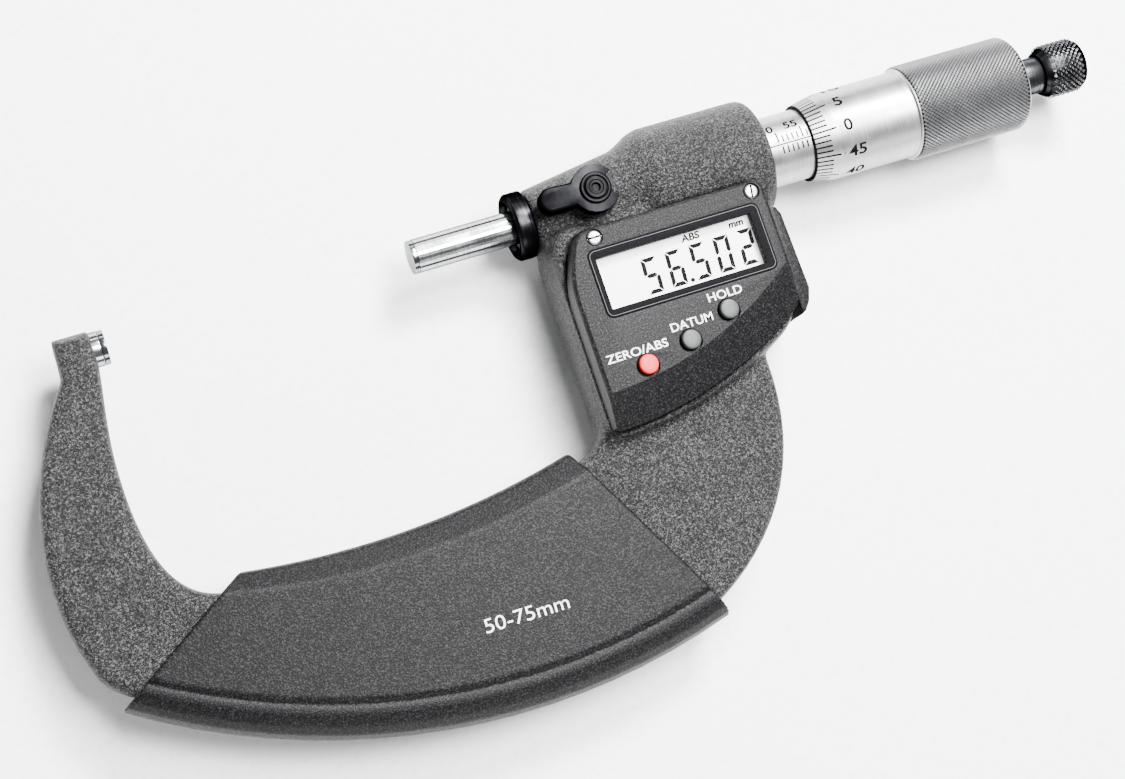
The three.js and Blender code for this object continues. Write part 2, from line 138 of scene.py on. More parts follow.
table = bpy.data.objects.new("table", tableMesh)
bpy.context.scene.collection.objects.link(table)
print("camera, lights and table")


# Materials

def startMaterial(name, **values):
    material = bpy.data.materials.new(name)
    material.use_nodes = True
    shader = material.node_tree.nodes["Principled BSDF"]
    for key, value in values.items():
        shader.inputs[key.replace("_", " ")].default_value = value
    return material, material.node_tree, shader


def stretched(tree, size, stretch=(1, 1, 1)):
    # Object coordinates scaled so that one unit is one grain of this size
    place = addNode(tree, "ShaderNodeTexCoord").outputs["Object"]
    scale = [1 / size / mm * part for part in stretch]
    mapping = addNode(tree, "ShaderNodeMapping", sockets={"Vector": place, "Scale": scale})
    return mapping.outputs[0]


def grain(tree, vector, detail=3, distortion=0, roughness=0.55):
    sockets = {
        "Vector": vector, "Scale": 1, "Detail": detail, "Distortion": distortion,
        "Roughness": roughness,
    }
    return addNode(tree, "ShaderNodeTexNoise", sockets=sockets).outputs["Fac"]


def ramp(tree, factor, stops):
    node = addNode(tree, "ShaderNodeValToRGB", sockets={"Fac": factor})
    while len(node.color_ramp.elements) < len(stops):
        node.color_ramp.elements.new(0.5)
    for element, (position, colour) in zip(node.color_ramp.elements, stops):
        element.position = position
        element.color = linear(colour)
    return node.outputs["Color"]


def bump(tree, shader, height, depth, strength):
    sockets = {"Height": height, "Distance": depth * mm, "Strength": strength}
    node = addNode(tree, "ShaderNodeBump", sockets=sockets)
    tree.links.new(node.outputs["Normal"], shader.inputs["Normal"])


def spread(tree, factor, low, high):
    # Noise keeps mostly between 0.3 and 0.7
    sockets = {"Value": factor, "From Min": 0.3, "From Max": 0.7, "To Min": low, "To Max": high}
    return addNode(tree, "ShaderNodeMapRange", sockets=sockets).outputs["Result"]


def wrinkleEnamel():
    # Stoved wrinkle enamel on a forging: dark grey and matt in the furrows; its colour is painted
    # darker in the furrows as painted shade and lighter on the crests as painted highlight
    look = {
        "furrowShade": "#020202", "body": "#101011", "crestHighlight": "#525253", "shadow": "#dcdcdc",
        "grain": 0.33, "cloud": 9, "depth": 0.34, "strength": 0.9, "matt": 0.62, "shine": 0.36,
    }
    name = "stovedWrinkleEnamel"
    material, tree, shader = startMaterial(name, IOR=1.35, Specular_IOR_Level=0.3)
    worms = grain(tree, stretched(tree, look["grain"]), detail=2.5, distortion=1.1)
    cloud = grain(tree, stretched(tree, look["cloud"]), detail=2)
    # Painted shade in the furrows and painted highlight on the crests, on the same noise as the
    # bump
    stops = [(0.36, look["furrowShade"]), (0.5, look["body"]), (0.66, look["crestHighlight"])]
    colour = ramp(tree, worms, stops)
    tint = ramp(tree, cloud, [(0.3, look["shadow"]), (0.7, "#ffffff")])
    settings = {"data_type": "RGBA", "blend_type": "MULTIPLY"}
    mixed = addNode(tree, "ShaderNodeMix", settings, {0: 1, 6: colour, 7: tint})
    tree.links.new(mixed.outputs[2], shader.inputs["Base Color"])
    rough = spread(tree, worms, look["matt"], look["shine"])
    tree.links.new(rough, shader.inputs["Roughness"])
    bump(tree, shader, worms, look["depth"], look["strength"])
    return material


def moulding(name, dark, body, light, size, depth, rough, gloss):
    # Plastic from a spark-eroded mould: an even fine grain that keeps it from shining
    material, tree, shader = startMaterial(name, IOR=1.5, Specular_IOR_Level=gloss)
    fine = grain(tree, stretched(tree, size), detail=2, distortion=0.3)
    colour = ramp(tree, fine, [(0.3, dark), (0.5, body), (0.7, light)])
    tree.links.new(colour, shader.inputs["Base Color"])
    tree.links.new(spread(tree, fine, rough + 0.08, rough - 0.08), shader.inputs["Roughness"])
    bump(tree, shader, fine, depth, 0.8)
    return material


def turnedMetal(name, dark, light, rough, lines, depth, axis="X", edge="#ffffff"):
    # Metal finished on a lathe or grinder: hair lines run round the axis, and handling dulls it
    # in patches. The edge colour darkens what it mirrors at a shallow angle.
    wear = {"patch": 5, "handling": 0.05, "round": 0.02}
    material, tree, shader = startMaterial(name, Metallic=1, Specular_Tint=linear(edge))
    around = wear["round"]
    along = {"X": (1, around, around), "Z": (around, around, 1)}[axis]
    hair = grain(tree, stretched(tree, lines, along), detail=4, roughness=0.7)
    patch = grain(tree, stretched(tree, wear["patch"]), detail=3)
    tree.links.new(ramp(tree, hair, [(0.3, dark), (0.62, light)]), shader.inputs["Base Color"])
    dulled = spread(tree, patch, rough - wear["handling"], rough + wear["handling"])
    tree.links.new(dulled, shader.inputs["Roughness"])
    bump(tree, shader, hair, depth, 0.6)
    return material


def plain(name, dark, light, rough, size, depth=0.01, gloss=0.4):
    # Paints and small or hidden parts: a mottled tone with a little grain
    material, tree, shader = startMaterial(name, IOR=1.5, Specular_IOR_Level=gloss)
    mottle = grain(tree, stretched(tree, size), detail=3)
    tree.links.new(ramp(tree, mottle, [(0.3, dark), (0.7, light)]), shader.inputs["Base Color"])
    tree.links.new(spread(tree, mottle, rough - 0.06, rough + 0.06), shader.inputs["Roughness"])
    bump(tree, shader, mottle, depth, 0.5)
    return material


def clearAcrylic():
    # Cast acrylic window: nearly all light passes, and a faint sharp reflection stays on top
    look = {"dark": "#202222", "light": "#2c2e2e", "haze": 3, "cover": 0.03, "gloss": 0.05}
    material, tree, shader = startMaterial(
        "castAcrylic", Alpha=look["cover"], Roughness=0.06, IOR=1.49,
        Specular_IOR_Level=look["gloss"])
    haze = grain(tree, stretched(tree, look["haze"]), detail=3)
    colour = ramp(tree, haze, [(0.3, look["dark"]), (0.7, look["light"])])
    tree.links.new(colour, shader.inputs["Base Color"])
    return material


def reflectiveLcd():
    # Liquid crystal given a painted glow: a weak emission makes it brighter than the lamps alone
    # light it
    material = plain("reflectiveLcd", "#f3f5f3", "#fbfcfa", 0.45, 2.5, depth=0.001)
    shader = material.node_tree.nodes["Principled BSDF"]
    shader.inputs["Emission Color"].default_value = linear("#ffffff")
    shader.inputs["Emission Strength"].default_value = 0.9
    return material


# Finishes by the record's slots; sizes and depths of the grain are millimetres
finishes = {
    "wrinkle_paint": wrinkleEnamel(),
    "moulded_grey": moulding(
        "sparkErodedNylon", "#030304", "#080809", "#262627",
        size=0.3, depth=0.08, rough=0.46, gloss=0.085),
    "surround_black": moulding(
        "satinBlackAbs", "#060607", "#08080a", "#0d0d0f",
        size=0.25, depth=0.02, rough=0.75, gloss=0.05),
    "satin_chrome": turnedMetal(
        "satinChromePlate", "#858688", "#a8a8a9", rough=0.38, lines=0.12, depth=0.004),
    "ground_steel": turnedMetal(
        "groundToolSteel", "#86888b", "#b9babc",
        rough=0.16, lines=0.16, depth=0.002, edge="#3c3d40"),
    "carbide": turnedMetal(
        "lappedCarbide", "#5f6164", "#8d8f92",
        rough=0.16, lines=0.2, depth=0.002, edge="#b9babc"),
    "black_steel": turnedMetal(
        "blackOxideSteel", "#08080a", "#262628",
        rough=0.28, lines=0.2, depth=0.004, edge="#606063"),
    "brass": turnedMetal(
        "machinedBrass", "#a8843f", "#cdaa66", rough=0.28, lines=0.15, depth=0.004),
    "rubber": plain("nitrileRubber", "#141414", "#222223", rough=0.72, size=0.4),
    "clear_window": clearAcrylic(),
    "lcd": reflectiveLcd(),
    "circuit_board": plain("solderMask", "#124a2b", "#1d6b40", rough=0.4, size=0.8),
    "button_red": plain("satinRedAbs", "#b01d1a", "#c22824", rough=0.42, size=0.5, gloss=0.25),
    "button_grey": plain("satinGreyAbs", "#2c2d2e", "#38393a", rough=0.42, size=0.5, gloss=0.25),
}
# Paints, and metals whose wear or lathe axis differs from their slot's
paint = {
    # Black fill paint for the scale lines; the same black is painted shade in the knurl's valleys
    # and at the thimble's lip, and lies on the screw slots' floors
    "black": plain("blackFillPaintAndPaintedShade", "#030303", "#080808", rough=0.8, size=0.3, gloss=0.05),
    "white": plain("whitePadPrint", "#d9d9d8", "#f2f2f1", rough=0.55, size=0.3),
    "segment": plain("darkLiquidCrystal", "#030303", "#070708", rough=0.8, size=0.6, gloss=0.05),
    # Light grey for the line round the display: a painted highlight on the surround's edge
    "edgeHighlight": plain("greyPaintedEdgeHighlight", "#3c3d3f", "#4d4e51", rough=0.6, size=0.3),
    "screw": turnedMetal(
        "nickelPlatedScrew", "#77787a", "#a4a4a5", rough=0.4, lines=0.25, depth=0.004, axis="Z"),
    "worn": turnedMetal(
        "wornBlackOxide", "#1a1a1b", "#a3a4a6", rough=0.26, lines=0.5, depth=0.004, edge="#6a6a6c"),
    "neck": turnedMetal(
        "bareSteelNeck", "#252527", "#636466", rough=0.26, lines=0.2, depth=0.004, edge="#77787a"),
    "hub": turnedMetal(
        "blackenedHub", "#020202", "#0d0d0e",
        rough=0.34, lines=0.22, depth=0.004, axis="Z", edge="#3a3a3c"),
    "lever": turnedMetal(
        "blackOxideTurned", "#040405", "#121213",
        rough=0.34, lines=0.22, depth=0.004, axis="Z", edge="#3a3a3c"),
}
tableMaterial = moulding(
    "matteLaminate", "#f1f1f0", studio["table"], studio["table"],
    size=1.5, depth=0.01, rough=0.8, gloss=0.16)
tableMesh.materials.append(tableMaterial)
print("materials")


# Mesh helpers

def shade(mesh, angle=40):
    work = bmesh.new()
    work.from_mesh(mesh)
    for face in work.faces:
        face.smooth = True
    for edge in work.edges:
        edge.smooth = len(edge.link_faces) == 2 and edge.calc_face_angle(0) < math.radians(angle)
    work.to_mesh(mesh)
    work.free()


def buildMesh(name, points, faces):
    # Points in millimetres
    mesh = bpy.data.meshes.new(name)
    mesh.from_pydata([Vector(point) * mm for point in points], [], faces)
    work = bmesh.new()
    work.from_mesh(mesh)
    bmesh.ops.remove_doubles(work, verts=work.verts, dist=1e-7)
    bmesh.ops.recalc_face_normals(work, faces=work.faces)
    work.to_mesh(mesh)
    work.free()
    return mesh


def asObject(mesh, name):
    piece = bpy.data.objects.new(name, mesh)
    bpy.context.scene.collection.objects.link(piece)
    return piece


def settle(piece):
    # Applies what modifiers the piece has
    graph = bpy.context.evaluated_depsgraph_get()
    mesh = bpy.data.meshes.new_from_object(piece.evaluated_get(graph))
    piece.modifiers.clear()
    piece.data = mesh
    return piece


def finishPiece(piece, slot, body, replaced=(), material=None, angle=40):
    shade(piece.data, angle)
    piece.data.materials.clear()
    piece.data.materials.append(material or finishes[slot])
    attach(piece, body)
    if replaced:
        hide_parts(*replaced)
    return piece


def joined(name, meshes):
    work = bmesh.new()
    for mesh in meshes:
        work.from_mesh(mesh)
    mesh = bpy.data.meshes.new(name)
    work.to_mesh(mesh)
    work.free()
    return mesh


def softened(profile, radius):
    # Eases each inner corner of a profile with two points
    points = [Vector(point) for point in profile]
    eased = [points[0]]
    for before, corner, after in zip(points, points[1:], points[2:]):
        reach = min(radius, (before - corner).length * 0.4, (after - corner).length * 0.4)
        start = corner + (before - corner).normalized() * reach
        end = corner + (after - corner).normalized() * reach
        eased.append(start)
        for t in (1 / 3, 2 / 3):
            eased.append(start * (1 - t) ** 2 + corner * 2 * t * (1 - t) + end * t ** 2)
        eased.append(end)
    return eased + [points[-1]]


def turned(name, profile, sides=160, ease=0.1, axis="X", centre=(0, 0)):
    # A solid turned about X, or about Z through centre, from [along, radius] corners
    section = softened(profile, ease) if ease else [Vector(point) for point in profile]
    points = []
    for step in range(sides):
        angle = math.radians(360 * step / sides)
        for along, radius in section:
            u, v = radius * math.cos(angle), radius * math.sin(angle)
            points.append((along, u, v) if axis == "X" else (centre[0] + u, centre[1] + v, along))
    size = len(section)
    faces = []
    for step in range(sides):
        here, there = step * size, (step + 1) % sides * size
        for i in range(size - 1):
            faces.append((here + i, here + i + 1, there + i + 1, there + i))
    return buildMesh(name, points, faces)


def cadCopy(node, name):
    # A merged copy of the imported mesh, for a piece that stands for it
    mesh = nodes[node].data.copy()
    mesh.name = name
    work = bmesh.new()
    work.from_mesh(mesh)
    bmesh.ops.remove_doubles(work, verts=work.verts, dist=2e-6)
    bmesh.ops.dissolve_limit(work, angle_limit=math.radians(1), verts=work.verts, edges=work.edges)
    work.to_mesh(mesh)
    work.free()
    return asObject(mesh, name)


def bevelled(piece, width, segments=2, angle=38):
    modifier = piece.modifiers.new("edges", "BEVEL")
    modifier.width = width * mm
    modifier.segments = segments
    modifier.limit_method = "ANGLE"
    modifier.angle_limit = math.radians(angle)
    return settle(piece)


def remeshed(piece, voxel, rounds, factor=0.5):
    modifier = piece.modifiers.new("skin", "REMESH")
    modifier.mode = "VOXEL"
    modifier.voxel_size = voxel * mm
    modifier = piece.modifiers.new("ease", "SMOOTH")
    modifier.iterations = rounds
    modifier.factor = factor
    return settle(piece)


def cut(piece, cutterMesh):
    cutter = asObject(cutterMesh, "cutter")
    modifier = piece.modifiers.new("cut", "BOOLEAN")
    modifier.operation = "DIFFERENCE"
    modifier.solver = "EXACT"
    modifier.object = cutter
    settle(piece)
    bpy.data.objects.remove(cutter)
    return piece


def boxMesh(low, high):
    xs, ys, zs = zip(low, high)
    corners = [(x, y, z) for x in xs for y in ys for z in zs]
    sides = [(0, 1, 3, 2), (4, 6, 7, 5), (0, 4, 5, 1), (2, 3, 7, 6), (0, 2, 6, 4), (1, 5, 7, 3)]
    return buildMesh("box", corners, sides)


def slab(name, outline, low, high):
    # A flat plate from an outline of (x, y) points
    size = len(outline)
    points = [(x, y, z) for z in (low, high) for x, y in outline]
    faces = [tuple(range(size)), tuple(range(size, 2 * size))]
    for i in range(size):
        j = (i + 1) % size
        faces.append((i, j, size + j, size + i))
    return buildMesh(name, points, faces)


# Geometry Nodes: one element repeated round the spindle axis in columns and along it in rows

def repeatTree():
    tree = bpy.data.node_groups.new("repeatRoundSpindle", "GeometryNodeTree")
    sockets = [
        ("Element", "NodeSocketGeometry"), ("Columns", "NodeSocketInt"), ("Rows", "NodeSocketInt"),
        ("Column Turn", "NodeSocketFloat"), ("Column Step", "NodeSocketFloat"),
        ("Row Turn", "NodeSocketFloat"), ("Row Step", "NodeSocketFloat"),
        ("Finish", "NodeSocketMaterial"),
    ]
    for label, kind in sockets:
        tree.interface.new_socket(label, in_out="INPUT", socket_type=kind)
    tree.interface.new_socket("Geometry", in_out="OUTPUT", socket_type="NodeSocketGeometry")
    given = addNode(tree, "NodeGroupInput").outputs
    mathNode = "ShaderNodeMath"
    counts = {0: given["Columns"], 1: given["Rows"]}
    total = addNode(tree, mathNode, {"operation": "MULTIPLY"}, counts).outputs[0]
    index = addNode(tree, "GeometryNodeInputIndex").outputs[0]
    parts = {0: index, 1: given["Columns"]}
    column = addNode(tree, mathNode, {"operation": "MODULO"}, parts).outputs[0]
    share = addNode(tree, mathNode, {"operation": "DIVIDE"}, parts).outputs[0]
    row = addNode(tree, mathNode, {"operation": "FLOOR"}, {0: share}).outputs[0]
    amounts = {}
    for amount in ("Turn", "Step"):
        parts = {0: column, 1: given["Column " + amount]}
        across = addNode(tree, mathNode, {"operation": "MULTIPLY"}, parts).outputs[0]
        parts = {0: row, 1: given["Row " + amount], 2: across}
        whole = addNode(tree, mathNode, {"operation": "MULTIPLY_ADD"}, parts).outputs[0]
        amounts[amount] = addNode(tree, "ShaderNodeCombineXYZ", sockets={"X": whole}).outputs[0]
    spin = addNode(tree, "FunctionNodeEulerToRotation", sockets={0: amounts["Turn"]}).outputs[0]
    sockets = {"Count": total, "Position": amounts["Step"]}
    points = addNode(tree, "GeometryNodePoints", sockets=sockets).outputs[0]
    sockets = {"Points": points, "Instance": given["Element"], "Rotation": spin}
    copies = addNode(tree, "GeometryNodeInstanceOnPoints", sockets=sockets).outputs[0]
    real = addNode(tree, "GeometryNodeRealizeInstances", sockets={0: copies}).outputs[0]
    sockets = {"Geometry": real, "Material": given["Finish"]}
    coated = addNode(tree, "GeometryNodeSetMaterial", sockets=sockets).outputs[0]
    addNode(tree, "NodeGroupOutput", sockets={0: coated})
    return tree


repeatRoundSpindle = repeatTree()


def repeated(name, element, finish, columns=1, rows=1,
             columnTurn=0.0, columnStep=0.0, rowTurn=0.0, rowStep=0.0):
    # Turns in degrees, steps in millimetres; returns a plain mesh
    base = asObject(element, name)
    modifier = base.modifiers.new("repeat", "NODES")
    modifier.node_group = repeatRoundSpindle
    values = {
        "Columns": columns, "Rows": rows, "Finish": finish,
        "Column Turn": math.radians(columnTurn), "Column Step": columnStep * mm,
        "Row Turn": math.radians(rowTurn), "Row Step": rowStep * mm,
    }
    for socket in repeatRoundSpindle.interface.items_tree:
        if socket.name in values:
            modifier[socket.identifier] = values[socket.name]
    graph = bpy.context.evaluated_depsgraph_get()
    mesh = bpy.data.meshes.new_from_object(base.evaluated_get(graph))
    bpy.data.objects.remove(base)
    return mesh


# What repeats round a cylinder lies at the top of it first, at turn 0; a positive turn goes
# towards the bow of the frame

def bent(name, start, end, first, last, radius, steps, lift=0.012, sink=0.05):
    # A thin patch on a turned surface, from start to end along X and from first to last degrees
    stations = [start + (end - start) * i / steps[0] for i in range(steps[0] + 1)]
    turns = [math.radians(first + (last - first) * j / steps[1]) for j in range(steps[1] + 1)]
    points = []
    for offset in (lift, -sink):
        for x in stations:
            for turn in turns:
                reach = radius(x) + offset
                points.append((x, -reach * math.sin(turn), reach * math.cos(turn)))
    wide, layer = len(turns), len(turns) * len(stations)
    faces = []
    for i in range(steps[0]):
        for j in range(steps[1]):
            a = i * wide + j
            quad = (a, a + 1, a + wide + 1, a + wide)
            faces += [quad, tuple(layer + k for k in reversed(quad))]
    rim = list(range(wide)) + [i * wide + wide - 1 for i in range(1, len(stations))]
    rim += [layer - 1 - j for j in range(1, wide)]
    rim += [i * wide for i in range(len(stations) - 2, 0, -1)]
    for a, b in zip(rim, rim[1:] + rim[:1]):
        faces.append((a, b, layer + b, layer + a))
    return buildMesh(name, points, faces)


def pyramid(name, start, base, tip, halfLong, halfWide, flat):
    # One truncated diamond of a knurl
    corners = [(-1, 0), (0, -1), (1, 0), (0, 1)]
    points = []
    for u, v in corners:
        drop = abs(v) * halfWide ** 2 / base / 2
        points.append((start + u * halfLong, v * halfWide, base - drop))
    points += [(start + u * halfLong * flat, v * halfWide * flat, tip) for u, v in corners]
    faces = [(0, 1, 2, 3), (4, 5, 6, 7), (0, 1, 5, 4), (1, 2, 6, 5), (2, 3, 7, 6), (3, 0, 4, 7)]
    return buildMesh(name, points, faces)


def diamondKnurl(name, knurl, finish):
    # Rows of diamonds, each row half a diamond on and half a diamond round from the last
    turn = 360 / knurl["around"]
    halfWide = math.pi * knurl["radius"] / knurl["around"]
    diamond = pyramid(
        name, knurl["start"], knurl["base"], knurl["tip"],
        knurl["length"] * 0.44, halfWide * knurl["fill"], knurl["flat"])
    return repeated(
        name, diamond, finish, knurl["around"], knurl["rows"],
        columnTurn=turn, rowTurn=turn / 2, rowStep=knurl["length"] / 2)


def wrapped(mesh, radius, turn, start, strip=0.15):
    # Bends a flat mesh with x along the spindle and y round it, cut in strips to follow the curve
    work = bmesh.new()
    work.from_mesh(mesh)
    low = min(v.co.y for v in work.verts)
    high = max(v.co.y for v in work.verts)
    level = low + strip * mm
    while level < high:
        everything = work.verts[:] + work.edges[:] + work.faces[:]
        bmesh.ops.bisect_plane(work, geom=everything, plane_co=(0, level, 0), plane_no=(0, 1, 0))
        level += strip * mm
    for vert in work.verts:
        reach = radius * mm + vert.co.z
        angle = math.radians(turn) - vert.co.y / (radius * mm)
        y, z = -reach * math.sin(angle), reach * math.cos(angle)
        vert.co = Vector((vert.co.x + start * mm, y, z))
    work.to_mesh(mesh)
    work.free()
    return mesh


def lettering(text, width, height, bold=0.02, thick=0.03, shear=0.0):
    # Text in the built-in face as a thin solid, its lower left corner at the origin
    curve = bpy.data.curves.new("lettering", "FONT")
    curve.body = text
    curve.offset = bold
    curve.shear = shear
    curve.resolution_u = 5
    holder = asObject(curve, "lettering")
    graph = bpy.context.evaluated_depsgraph_get()
    mesh = bpy.data.meshes.new_from_object(holder.evaluated_get(graph))
    bpy.data.objects.remove(holder)
    work = bmesh.new()
    work.from_mesh(mesh)
    bmesh.ops.remove_doubles(work, verts=work.verts, dist=1e-5)
    low = [min(v.co[k] for v in work.verts) for k in (0, 1)]
    high = [max(v.co[k] for v in work.verts) for k in (0, 1)]
    scale = [width * mm / (high[0] - low[0]), height * mm / (high[1] - low[1])]
    for vert in work.verts:
        vert.co = Vector(((vert.co.x - low[0]) * scale[0], (vert.co.y - low[1]) * scale[1], 0))
    top = bmesh.ops.extrude_face_region(work, geom=work.faces[:])["geom"]
    for item in top:
        if isinstance(item, bmesh.types.BMVert):
            item.co.z += thick * mm
    bmesh.ops.recalc_face_normals(work, faces=work.faces)
    work.to_mesh(mesh)
    work.free()
    return mesh


def moved(mesh, x, y, z):
    mesh.transform(Matrix.Translation(Vector((x, y, z)) * mm))
    return mesh


def placed(mesh, place, turn):
    # Turned by so many degrees about Z, then put at its place
    turning = Matrix.Rotation(math.radians(turn), 4, "Z")
    mesh.transform(Matrix.Translation(Vector(place) * mm) @ turning)
    return mesh


def easedCopy(node, slot, body, width=0.15, material=None, segments=2):
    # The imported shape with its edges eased
    piece = cadCopy(node, node + "_eased")
    if width:
        piece = bevelled(piece, width, segments)
    return finishPiece(piece, slot, body, [node], material)


# Frame and heat shields: enamel and moulding round every edge, so each is skinned over and eased
forging = {"voxel": 0.55, "rounds": 4}
shields = {"voxel": 0.34, "rounds": 5}
rangeText = {
    "text": "50-75mm", "place": (46.8, -69.1, 7.385), "turn": -1.5,
    "width": 15.6, "height": 2.5, "bold": -0.004,
}
forged = remeshed(cadCopy("frame", "forgedFrame"), forging["voxel"], forging["rounds"])
finishPiece(forged, "wrinkle_paint", "frame", ["frame"], angle=80)
for sideName in ("front", "back"):
    node = "heat_shield_" + sideName
    shield = remeshed(cadCopy(node, "heatShield_" + sideName), shields["voxel"], shields["rounds"])
    finishPiece(shield, "moulded_grey", "frame", [node], angle=80)
printed = lettering(rangeText["text"], rangeText["width"], rangeText["height"], rangeText["bold"])
printed = asObject(placed(printed, rangeText["place"], rangeText["turn"]), "sizeLettering")
finishPiece(printed, "moulded_grey", "frame", material=paint["white"])
print("frame and heat shields")

# Anvil and spindle ends, ground bright; the tips are lapped carbide, behind a hairline joint
ends = {"reading": 56.502, "shank": 3.175, "seat": 8.5, "tip": 3.15, "length": 1, "joint": 0.06}


def endPlug(name, start, end, radius, ease=0.12):
    profile = [[start, 0], [start, radius], [end, radius], [end, 0]]
    return asObject(turned(name, profile, ease=ease), name)


tipEnd = ends["reading"] + ends["length"]
shank = endPlug("anvilShank", -ends["seat"], -ends["length"] - ends["joint"], ends["shank"], 0.1)
finishPiece(shank, "ground_steel", "frame", ["anvil"])
tip = endPlug("anvilFace", -ends["length"], 0, ends["tip"])
finishPiece(tip, "carbide", "frame", ["anvil_tip"])
tip = endPlug("spindleFace", ends["reading"], tipEnd, ends["tip"])
finishPiece(tip, "carbide", "spindle", ["spindle_tip"])
print("measuring faces")

# Clamp: black oxide lever and hub screw, and the collar where the spindle comes out
hub = {
    "centre": (90.8, 0.6), "sides": 96, "ease": 0.08,
    "outline": [
        [9, 0], [9, 1.6], [11.5, 1.6],  # shank in the frame
        [11.5, 2.95], [12.0, 2.95], [12.12, 2.7], [12.12, 2.3],  # washer
        [11.85, 2.2], [11.85, 2.12],  # groove round the head
        [12.4, 2.0], [12.4, 1.4], [12.3, 1.3], [12.3, 0.8],  # head, dished inside its rim
        [11.7, 0.72], [11.7, 0],  # socket
    ],
}
easedCopy("spindle_collar", "black_steel", "frame", 0.12)
easedCopy("lock_lever", "black_steel", "lock", 0.14, paint["lever"], 3)
screw = turned("lockHub", hub["outline"], hub["sides"], hub["ease"], "Z", hub["centre"])
finishPiece(asObject(screw, "lockHub"), "black_steel", "lock", ["lock_screw"], paint["hub"], 50)
print("clamp")

# The display's surround, and the covers of the data port and the battery
easedCopy("display_surround", "surround_black", "frame", 0.14)
easedCopy("port_cover", "moulded_grey", "port_cover", 0.2)
easedCopy("battery_cover", "moulded_grey", "battery_cover", 0.2)
print("surround and covers")

# A thin raised line round the display, coloured light grey as a painted highlight on the surround's
# outer edge
edgeHighlight = {
    "left": 85.15, "right": 118.4, "low": -22.95, "high": -10.6, "corner": 1.2, "cornerSteps": 8,
    "width": 0.1, "slope": 0.03, "foot": 12.4, "top": 12.5,
}


def roundedBox(shape, inset):
    outline = []
    for cx, cy, start in ((1, 1, 0), (0, 1, 90), (0, 0, 180), (1, 0, 270)):
        x = shape["right"] - shape["corner"] if cx else shape["left"] + shape["corner"]
        y = shape["high"] - shape["corner"] if cy else shape["low"] + shape["corner"]
        for step in range(shape["cornerSteps"] + 1):
            angle = math.radians(start + 90 * step / shape["cornerSteps"])
            reach = shape["corner"] - inset
            outline.append((x + reach * math.cos(angle), y + reach * math.sin(angle)))
    return outline


section = [
    (0, edgeHighlight["foot"]), (edgeHighlight["slope"], edgeHighlight["top"]),
    (edgeHighlight["width"], edgeHighlight["top"]), (edgeHighlight["width"] + edgeHighlight["slope"], edgeHighlight["foot"]),
]
rings = [[(x, y, z) for x, y in roundedBox(edgeHighlight, inset)] for inset, z in section]
size = len(rings[0])
faces = []
for r in range(len(rings)):
    here, there = r * size, (r + 1) % len(rings) * size
    for i in range(size):
        j = (i + 1) % size
        faces.append((here + i, here + j, there + j, there + i))
line = buildMesh("surroundEdgeHighlight", [point for ring in rings for point in ring], faces)
line = asObject(line, "surroundEdgeHighlight")
finishPiece(line, "surround_black", "frame", material=paint["edgeHighlight"])

# Push buttons: a crowned cap with a rounded rim, each in a well a little off its centre
buttons = {
    "zero": {"well": (89.03, -33.2), "slot": "button_red"},
    "datum": {"well": (98.1, -31.2), "slot": "button_grey"},
    "hold": {"well": (106.79, -28.0), "slot": "button_grey"},
}
crown = {"radius": 1.8, "side": 0.34, "rim": 1.62, "rimDrop": 0.1, "top": 0.9, "topDrop": 0.02}
for name, button in buttons.items():
    low, high = [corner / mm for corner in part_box(name + "_button")]
    centre = ((low.x + high.x) / 2, (low.y + high.y) / 2)
    profile = [
        [low.z, 0], [low.z, crown["radius"]], [high.z - crown["side"], crown["radius"]],
        [high.z - crown["rimDrop"], crown["rim"]], [high.z - crown["topDrop"], crown["top"]],
        [high.z, 0],
    ]
    cap = asObject(turned(name + "Cap", profile, 64, 0.12, "Z", centre), name + "Cap")
    finishPiece(cap, button["slot"], name + "_button", [name + "_button"], angle=60)

# Housing with its wells, and two screws with turned heads: each slot has its own angle and a black
# strip on its floor
screws = {
    "left": {"place": (87.35, -8.2), "slot": 0},
    "right": {"place": (118.5, -8.25), "slot": 80},
}
slotCut = {"half": 1.6, "halfWide": 0.19, "low": 12.05, "high": 13}
slotFloorBlack = {"half": 1.3, "halfWide": 0.18, "low": 12.0, "high": 12.09}
wells = {"floor": 11.3, "above": 13.2, "button": 2.24, "screw": 1.58}
housingEdge = {"width": 0.26, "segments": 3, "angle": 16}
housing = bevelled(cadCopy("display_housing", "displayHousing"), housingEdge["width"],
                   housingEdge["segments"], housingEdge["angle"])
places = [(button["well"], wells["button"]) for button in buttons.values()]
places += [(screw["place"], wells["screw"]) for screw in screws.values()]
for centre, radius in places:
    low, high = wells["floor"], wells["above"]
    profile = [[low, 0], [low, radius], [high, radius], [high, 0]]
    cut(housing, turned("well", profile, 64, 0, "Z", centre))
finishPiece(housing, "moulded_grey", "frame", ["display_housing"])


def slotBar(screw, bar):
    # A bar lying across a screw, at the angle of its slot
    low = (-bar["half"], -bar["halfWide"], bar["low"])
    high = (bar["half"], bar["halfWide"], bar["high"])
    return placed(boxMesh(low, high), (*screw["place"], 0), screw["slot"])


for place, screw in screws.items():
    node = "housing_screw_" + place
    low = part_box(node)[0].z / mm
    profile = [
        [low, 0], [low, 0.8], [11.35, 0.8],  # shank
        [11.35, 1.33], [12.2, 1.33], [12.42, 1.05], [12.48, 0],  # head
    ]
    head = asObject(turned(node + "_head", profile, 48, 0.06, "Z", screw["place"]), node + "_head")
    cut(head, slotBar(screw, slotCut))
    finishPiece(head, "satin_chrome", "frame", [node], paint["screw"])
    # A black strip lying on the floor of the slot
    slotFloorStrip = asObject(slotBar(screw, slotFloorBlack), node + "_grime")
    finishPiece(slotFloorStrip, "satin_chrome", "frame", material=paint["black"])

